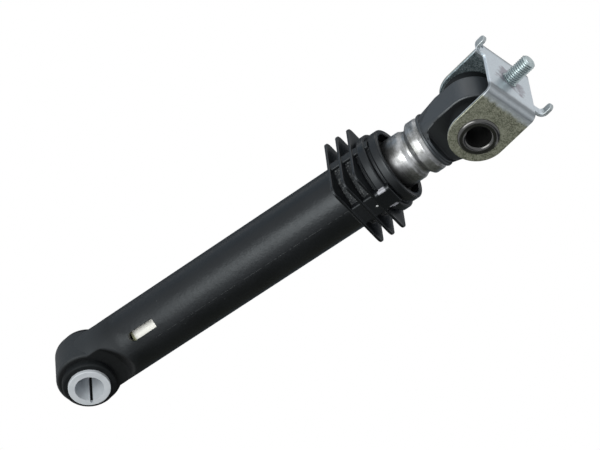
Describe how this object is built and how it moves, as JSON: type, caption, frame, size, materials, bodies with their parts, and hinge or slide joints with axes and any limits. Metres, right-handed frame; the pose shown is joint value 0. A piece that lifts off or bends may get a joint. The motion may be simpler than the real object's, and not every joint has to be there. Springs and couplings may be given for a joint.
{
  "type": "washing machine shock absorber",
  "caption": "Friction damper for a washing machine: moulded cylinder with a bushed eye, finned collar, sliding steel rod and a swivelling folded bracket with a threaded stud.",
  "frame": {"origin": "centre of the lower eye's bore", "axes": "+Z along the damper from the lower eye to the bracket, +Y along the eye's bore"},
  "size_m": [0.0488, 0.0426, 0.2997],
  "materials": {
    "black_plastic": "satin black moulded plastic",
    "bush_rubber": "dull black rubber",
    "white_nylon": "smooth white nylon",
    "friction_foam": "greased foam strip",
    "wiper_felt": "dark felt",
    "rod_steel": "bright drawn steel",
    "zinc_sheet": "galvanised sheet with fine spangle",
    "zinc_stud": "bright zinc plate",
    "black_sleeve": "blackened steel tube"
  },
  "bodies": {
    "barrel": {"cylinder_tube": "black_plastic", "eye_rubber_bush": "bush_rubber", "eye_liner_sleeve": "white_nylon", "finned_collar": "black_plastic", "inner_guide_ring": "white_nylon", "friction_lining": "friction_foam", "outer_guide_ring": "white_nylon", "wiper_ring": "wiper_felt"},
    "slider": {"piston_ring": "white_nylon"},
    "rod": {"rod_tube": "rod_steel", "piston_plug": "white_nylon", "stop_buffer": "bush_rubber", "rod_end_fitting": "black_plastic", "upper_rubber_bush": "bush_rubber"},
    "bracket": {"bracket": "zinc_sheet", "stud": "zinc_stud", "pivot_sleeve": "black_sleeve"}
  },
  "joints": [
    {"name": "stroke", "type": "slide", "parent": "barrel", "child": "slider", "axis": [0, 0, 1], "range_m": [-0.0097, 0.085]},
    {"name": "rod_turn", "type": "hinge", "parent": "slider", "child": "rod", "pos_m": [0, 0, 0], "axis": [0, 0, 1], "continuous": true},
    {"name": "bracket_swing", "type": "hinge", "parent": "rod", "child": "bracket", "pos_m": [0, 0, 0.2432], "axis": [0, 1, 0], "range_deg": [-68.7, 91.3]}
  ]
}
